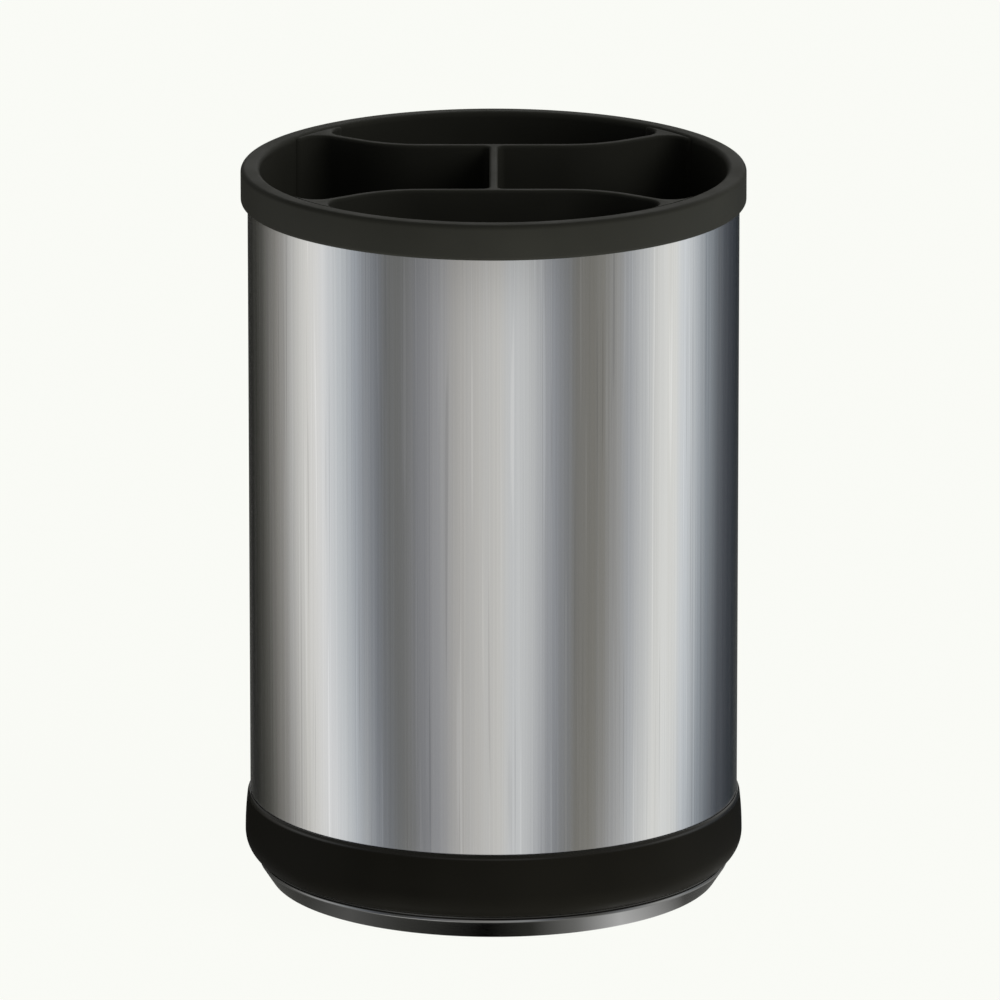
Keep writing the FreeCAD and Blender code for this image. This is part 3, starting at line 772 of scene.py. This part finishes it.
liner_black = moulded_finish(
    "liner_satin_black",
    dark=(0.036, 0.036, 0.0293),
    pale=(0.045, 0.045, 0.0366),
    roughness=(0.52, 0.62),
    grain_size=0.00035,
    grain_depth=0.00001,
    specular=0.12,
)
liner = new_piece("inner_liner_bucket", turned_mesh("inner_liner_bucket", [
    (0, liner_under, 0),
    (liner_foot_radius, liner_under, liner_foot_round),
    (liner_radius, sleeve_top, 0),
    (lip_bore, sleeve_top, 0),
    (lip_bore, rim_under, 0),
    (rim_radius, rim_under, rim_under_round),
    (rim_radius, overall_height, rim_top_round),
    (mouth_radius, overall_height, mouth_round),
    (liner_floor_radius, liner_floor_top, liner_floor_round),
    (0, liner_floor_top, 0),
]))
bosses = new_piece("liner_bosses", turned_mesh("liner_bosses", [
    (boss_pilot, base_floor_top, 0),
    (boss_radius, base_floor_top, boss_round),
    (boss_radius, floor_middle, 0),
    (boss_pilot, floor_middle, 0),
], turns=48))
join_with(liner, ringed(bosses, screw_count, screw_pitch, screw_first_angle), "UNION")
for side in (-1, 1):
    near = side * (cross_wall / 2 + stop_rib_gap)
    far = near + side * stop_rib_wall
    low = (min(near, far), -stop_rib_length / 2, floor_middle)
    high = (max(near, far), stop_rib_length / 2, liner_floor_top + stop_rib_height)
    join_with(liner, eased_block("stop_rib", low, high, stop_rib_round), "UNION", liner_black)
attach(liner, "canister")
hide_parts("inner_liner")


# Base screws: four zinc plated self-tapping screws. They go up through the base cup's floor into
# the liner's bosses and so clamp base, sleeve and liner together.
screws_low, screws_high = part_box("base_screws")
screw_radius = 0.0015
screw_core = 0.0011
screw_head_radius = 0.003
screw_head_under = screws_low.z
screw_head_round = 0.001
screw_neck_round = 0.0001
screw_tip = screws_high.z
screw_drive_width = 0.0008
screw_drive_length = 0.0032
screw_drive_depth = 0.0012
thread_pitch = 0.0012
thread_flank = thread_pitch / 3

screw_profile = [
    (0, screw_head_under, 0),
    (screw_head_radius, screw_head_under, screw_head_round),
    (screw_head_radius, base_under, screw_neck_round),
    (screw_core, base_under, 0),
]
thread_level = base_under + thread_pitch
while thread_level + thread_pitch < screw_tip:
    screw_profile += [
        (screw_core, thread_level - thread_flank, 0),
        (screw_radius, thread_level, 0),
        (screw_core, thread_level + thread_flank, 0),
    ]
    thread_level += thread_pitch
screw_profile += [(screw_core, screw_tip - screw_core, 0), (0, screw_tip, 0)]
screw_mesh = turned_mesh("base_screws_zinc", screw_profile, turns=40, steps=5)
screws = new_piece("base_screws_zinc", screw_mesh)
screw_drive = cross_tool(
    "screw_drive_tool", screw_drive_width, screw_drive_length, screw_head_under, screw_drive_depth
)
join_with(screws, screw_drive, "DIFFERENCE")
ringed(screws, screw_count, screw_pitch, screw_first_angle, spin=math.pi, finish=zinc_finish)
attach(screws, "canister")
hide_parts("base_screws")


# Divider: one moulding of the same satin black plastic, dropped into the liner from above. Two
# bowed walls with flared ends and a cross wall between them make the four compartments.
divider_top = divider_high.z
divider_top_round = 0.0007
divider_wall = 0.0022
divider_offset = 0.02229
divider_straight = 0.01651
divider_bend_radius = 0.02502
divider_bend = math.radians(36)
divider_end_wall = 0.00065
divider_end_width = 0.002
divider_end_round = 0.005
divider_tip_round = 0.0018
divider_foot_chamfer = 0.005
cross_round = 0.0018
slide_gap = 0.00005
overrun = 0.003


def arc_places(centre, radius, first, last, steps):
    """Places on an arc between two directions, the shorter way round."""
    turn = (last - first + math.pi) % (2 * math.pi) - math.pi
    angles = [first + turn * step / steps for step in range(steps + 1)]
    return [centre + radius * Vector((math.cos(angle), math.sin(angle))) for angle in angles]


def divider_outline(inset):
    """The divider's plan, drawn in by a small inset all round."""
    half = divider_wall / 2 - inset
    cross_half = cross_wall / 2 - inset
    corner = divider_straight + divider_bend_radius * math.tan(divider_bend / 2)
    mitre = half * math.tan(divider_bend / 2)
    along = Vector((math.cos(divider_bend), -math.sin(divider_bend)))
    across = Vector((math.sin(divider_bend), math.cos(divider_bend)))
    aside = Vector((corner, -divider_offset)).dot(across)
    plate_radius = mouth_radius - slide_gap - divider_end_wall
    plate_inner = plate_radius + inset
    flare = divider_end_round + inset
    tip_round = divider_tip_round - inset

    def end_side(side):
        """One side of a leg's end: the flare, the thin curved plate and its rounded tip."""
        level = aside + side * (half + flare)
        flare_centre = Vector((math.sqrt((plate_inner - flare) ** 2 - level ** 2), level))
        flare_end = math.atan2(flare_centre.y, flare_centre.x)
        outwards = side * math.pi / 2
        places = arc_places(flare_centre, flare, -outwards, flare_end, steps=12)
        full_flare = divider_wall / 2 + divider_end_round
        tip = (aside + side * full_flare) * plate_radius / (plate_radius - divider_end_round)
        tip += side * (divider_end_width - inset)
        tip_level = tip - side * tip_round
        tip_reach = math.sqrt((plate_inner + tip_round) ** 2 - tip_level ** 2)
        tip_centre = Vector((tip_reach, tip_level))
        tip_start = math.atan2(tip_centre.y, tip_centre.x)
        places += arc_places(Vector((0, 0)), plate_inner, flare_end, tip_start, steps=3)[1:-1]
        places += arc_places(tip_centre, tip_round, tip_start + math.pi, outwards, steps=6)
        places.append(Vector((mouth_radius + overrun, tip)))
        return [(*(along * place.x + across * place.y), 0) for place in places]

    front_right = [
        (corner - mitre, -divider_offset - half, divider_bend_radius - half),
        *end_side(-1),
        *reversed(end_side(1)),
        (corner + mitre, -divider_offset + half, divider_bend_radius + half),
        (cross_half, -divider_offset + half, cross_round + inset),
    ]
    right = front_right + [(x, -y, radius) for x, y, radius in reversed(front_right)]
    return eased_outline(right + [(-x, y, radius) for x, y, radius in reversed(right)])


def divider_mesh(name):
    """The plan raised to the divider's height, with rounded top edges."""
    round_steps = 6
    levels = [(liner_floor_top, 0.0)]
    for step in range(round_steps + 1):
        angle = math.pi / 2 * step / round_steps
        inset = divider_top_round * (1 - math.cos(angle))
        levels.append((divider_top - divider_top_round * (1 - math.sin(angle)), inset))
    form = bmesh.new()
    rings = [
        [form.verts.new((*place, level)) for place in divider_outline(inset)]
        for level, inset in levels
    ]
    for lower, upper in zip(rings, rings[1:]):
        join_rings(form, lower, upper)
    form.faces.new(list(reversed(rings[0])))
    form.faces.new(rings[-1])
    return finished_mesh(name, form)


divider = new_piece("divider_walls", divider_mesh("divider_walls"))
slide_radius = liner_floor_radius - slide_gap
trim_tool = new_piece("divider_trim_tool", turned_mesh("divider_trim_tool", [
    (mouth_radius - slide_gap, overall_height, 0),
    (slide_radius, liner_floor_top + divider_foot_chamfer, 0),
    (slide_radius - divider_foot_chamfer, liner_floor_top, 0),
    (slide_radius - divider_foot_chamfer, liner_floor_top - overrun, 0),
    (rim_radius + overrun, liner_floor_top - overrun, 0),
    (rim_radius + overrun, overall_height, 0),
]))
join_with(divider, trim_tool, "DIFFERENCE", liner_black)
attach(divider, "divider_insert")
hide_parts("divider")


# Studio: a wide pale floor that glows up at the holder, a dim sky and one soft lamp to the right of
# the camera. What shines sees panels that stand and hang all round, and glowing cards painted on the
# floor close to the foot, which only what shines sees.
background = (0.99, 1.0, 0.955)
horizon_level = 0.2
overhead_level = 0.05
panel_height = 0.05
overhead_height = 0.3
floor_radius = 8.0
floor_speckles = 30.0
floor_speckle_share = 0.995
shadow_share = 0.045
foot_cards_start = 0.0515
foot_cards_end = 0.056
edge_cards_end = 0.076
edge_cards_fade = 0.006
card_fade = 0.001


def mixed(tree, share, first, second):
    """A mix of two shaders."""
    return put(tree, "ShaderNodeMixShader", {0: share, 1: first, 2: second}).outputs["Shader"]


def by_bearing(tree, place, stops):
    """A colour that changes with the bearing of a place or direction; -Y is 0 and +X is 90."""
    parts = put(tree, "ShaderNodeSeparateXYZ", {"Vector": place}).outputs
    forward = worked_out(tree, "MULTIPLY", parts["Y"], -1.0)
    bearing = worked_out(tree, "ARCTAN2", parts["X"], forward)
    share = rising(tree, bearing, -math.pi, math.pi)
    ramp = put(tree, "ShaderNodeValToRGB", {"Fac": share})
    elements = ramp.color_ramp.elements
    elements.remove(elements[-1])
    for index, (degrees, colour) in enumerate(stops):
        position = degrees / 360 + 0.5
        stop = elements[0] if index == 0 else elements.new(position)
        stop.position = position
        stop.color = (*colour, 1.0)
    return ramp.outputs["Color"]


# Brightness of the glowing cards painted on the floor round the foot, by bearing in degrees.
foot_glow_card_stops = [
    (-180, (0.05, 0.05, 0.05)),
    (-58, (0.12, 0.12, 0.11)),
    (-41, (0.26, 0.26, 0.25)),
    (-24, (0.12, 0.12, 0.11)),
    (-2, (0.0, 0.0, 0.0)),
    (10, (0.08, 0.08, 0.07)),
    (22, (0.5, 0.5, 0.48)),
    (35, (1.5, 1.5, 1.48)),
    (46, (0.9, 0.9, 0.88)),
    (60, (0.17, 0.17, 0.16)),
    (180, (0.05, 0.05, 0.05)),
]

# Brightness of the glowing cards painted a little further out, which the lower edge of the band
# mirrors.
edge_glow_card_stops = [
    (-180, (0.06, 0.06, 0.058)),
    (-110, (0.06, 0.06, 0.058)),
    (-75, (0.25, 0.25, 0.24)),
    (-55, (0.25, 0.25, 0.24)),
    (-38, (0.5, 0.5, 0.48)),
    (-28, (1.2, 1.2, 1.152)),
    (-16, (1.3, 1.3, 1.248)),
    (-4, (0.6, 0.6, 0.576)),
    (12, (0.5, 0.5, 0.48)),
    (40, (0.8, 0.8, 0.768)),
    (75, (0.7, 0.7, 0.672)),
    (110, (0.06, 0.06, 0.058)),
    (180, (0.06, 0.06, 0.058)),
]

# Brightness of the light that the floor throws up, by bearing.
bounce_stops = [
    (-180, (0.6, 0.6, 0.58)),
    (-80, (0.5, 0.5, 0.48)),
    (-30, (0.85, 0.85, 0.82)),
    (50, (1.2, 1.2, 1.15)),
    (110, (1.0, 1.0, 0.97)),
    (180, (0.6, 0.6, 0.58)),
]


def floor_finish():
    """Pale floor that keeps part of the shadow; what shines sees its painted glowing cards, or the
    panels past it.
    """
    finish, tree, shader, place = new_finish("studio_floor")
    finish.cycles.emission_sampling = "NONE"
    tree.nodes.remove(shader)
    path = put(tree, "ShaderNodeLightPath").outputs
    facing = put(tree, "ShaderNodeNewGeometry").outputs
    distance = put(tree, "ShaderNodeVectorMath", {0: place}, operation="LENGTH").outputs["Value"]

    def glowing(colour):
        """A glow of one colour, or of the colour that another node gives."""
        return put(tree, "ShaderNodeEmission", {"Color": colour}).outputs["Emission"]

    speckle = ranged(tree, noise(tree, place, floor_speckles))
    speckle_colour = tuple(floor_speckle_share * part for part in background)
    tone = blended(tree, speckle, speckle_colour, background)
    matt = put(tree, "ShaderNodeBsdfDiffuse", {"Color": tone}).outputs["BSDF"]
    shown = mixed(tree, shadow_share, glowing((*background, 1.0)), matt)
    bounce = glowing(by_bearing(tree, place, bounce_stops))
    seen = mixed(tree, path["Is Camera Ray"], bounce, shown)
    past_foot = rising(tree, distance, foot_cards_end, foot_cards_end + card_fade)
    foot_cards = by_bearing(tree, place, foot_glow_card_stops)
    edge_cards = by_bearing(tree, place, edge_glow_card_stops)
    # The cards are glow painted into the floor, which only shining surfaces see and mirror.
    card_glow = glowing(blended(tree, past_foot, foot_cards, edge_cards))
    mirrored = mixed(tree, path["Is Glossy Ray"], seen, card_glow)
    past_cards = rising(tree, distance, edge_cards_end, edge_cards_end + edge_cards_fade)
    under_foot = rising(tree, distance, foot_cards_start, foot_cards_start - card_fade)
    no_card = worked_out(tree, "MAXIMUM", past_cards, under_foot)
    open_to_shine = worked_out(tree, "MULTIPLY", no_card, path["Is Glossy Ray"])
    gone = worked_out(tree, "MAXIMUM", open_to_shine, facing["Backfacing"])
    clear = put(tree, "ShaderNodeBsdfTransparent").outputs["BSDF"]
    ready = mixed(tree, gone, mirrored, clear)
    tree.links.new(ready, tree.nodes["Material Output"].inputs["Surface"])
    return finish


floor_form = bmesh.new()
bmesh.ops.create_circle(floor_form, cap_ends=True, radius=floor_radius, segments=64)
floor_mesh = bpy.data.meshes.new("studio_floor")
floor_form.to_mesh(floor_mesh)
floor_form.free()
floor = new_piece("studio_floor", floor_mesh, floor_finish())

# Brightness of the panels that stand round the holder, by bearing.
panel_stops = [
    (-180, (0.14, 0.14, 0.13)),
    (-160, (0.01, 0.01, 0.01)),
    (-138, (0.07, 0.07, 0.06)),
    (-118, (0.34, 0.33, 0.31)),
    (-100, (0.92, 0.92, 0.9)),
    (-87, (1.1, 1.1, 1.1)),
    (-76, (0.78, 0.82, 0.85)),
    (-58, (0.24, 0.26, 0.3)),
    (-46, (0.19, 0.19, 0.175)),
    (-34, (0.3, 0.31, 0.34)),
    (-20, (0.54, 0.54, 0.54)),
    (-4, (0.8, 0.78, 0.74)),
    (16, (0.88, 0.9, 0.91)),
    (26, (0.4, 0.42, 0.46)),
    (38, (0.25, 0.25, 0.24)),
    (50, (0.26, 0.25, 0.22)),
    (66, (0.53, 0.55, 0.58)),
    (87, (1.1, 1.1, 1.06)),
    (101, (0.95, 0.98, 1.0)),
    (116, (0.38, 0.42, 0.46)),
    (134, (0.09, 0.1, 0.12)),
    (160, (0.02, 0.025, 0.03)),
    (180, (0.14, 0.14, 0.13)),
]

# Brightness of the panels that hang overhead: pale behind the holder and dark in front of it.
overhead_stops = [
    (-180, (1.0, 1.0, 0.96)),
    (-162, (0.35, 0.35, 0.33)),
    (-110, (0.2, 0.2, 0.19)),
    (0, (0.1, 0.1, 0.09)),
    (110, (0.3, 0.3, 0.28)),
    (160, (1.1, 1.1, 1.06)),
    (180, (1.0, 1.0, 0.96)),
]


def light_sky(tree):
    """A pale backdrop for the camera, panels for what shines and a dim sky for all else."""
    path = put(tree, "ShaderNodeLightPath").outputs
    towards = put(tree, "ShaderNodeTexCoord").outputs["Generated"]
    height = put(tree, "ShaderNodeSeparateXYZ", {"Vector": towards}).outputs["Z"]

    def light(colour, strength=1.0):
        """Light from far off, of one colour or of the colour that another node gives."""
        level = {"Color": colour, "Strength": strength}
        return put(tree, "ShaderNodeBackground", level).outputs["Background"]

    standing = by_bearing(tree, towards, panel_stops)
    hanging = by_bearing(tree, towards, overhead_stops)
    overhead = rising(tree, height, panel_height, overhead_height)
    panels = light(blended(tree, overhead, standing, hanging))
    level = rising(tree, height, panel_height, overhead_height, horizon_level, overhead_level)
    sky = light((1.0, 1.0, 1.0, 1.0), level)
    lighting = mixed(tree, path["Is Glossy Ray"], sky, panels)
    ready = mixed(tree, path["Is Camera Ray"], lighting, light((*background, 1.0)))
    tree.links.new(ready, put(tree, "ShaderNodeOutputWorld").inputs["Surface"])


world = bpy.data.worlds.new("studio_world")
world.use_nodes = True
world.cycles.sampling_method = "NONE"
world.node_tree.nodes.clear()
light_sky(world.node_tree)
bpy.context.scene.world = world

lamp_strength = 0.7
lamp_spread = math.radians(40)
lamp_bearing = math.radians(60)
lamp_height = math.radians(30)
lamp_from = Vector((
    math.sin(lamp_bearing) * math.cos(lamp_height),
    -math.cos(lamp_bearing) * math.cos(lamp_height),
    math.sin(lamp_height),
))
lamp_data = bpy.data.lights.new("soft_lamp", "SUN")
lamp_data.energy = lamp_strength
lamp_data.angle = lamp_spread
lamp = bpy.data.objects.new("soft_lamp", lamp_data)
lamp.rotation_euler = lamp_from.to_track_quat("Z", "Y").to_euler()
lamp.visible_glossy = False
bpy.context.scene.collection.objects.link(lamp)


# Camera: a long lens a good way off, so that the sides of the sleeve stay upright, a little above
# the rim, so that the compartments show.
camera_aim = Vector((0.0015, 0.0, 0.0918))
camera_distance = 3.038
camera_height = math.radians(15)
camera_from = Vector((0.0, -math.cos(camera_height), math.sin(camera_height)))
camera_data = bpy.data.cameras.new("camera")
camera_data.sensor_width = 36.0
camera_data.lens = 466.0
camera = bpy.data.objects.new("camera", camera_data)
camera.location = camera_aim + camera_from * camera_distance
camera.rotation_euler = camera_from.to_track_quat("Z", "Y").to_euler()
bpy.context.scene.collection.objects.link(camera)
bpy.context.scene.camera = camera

bpy.context.scene.view_settings.view_transform = "Standard"
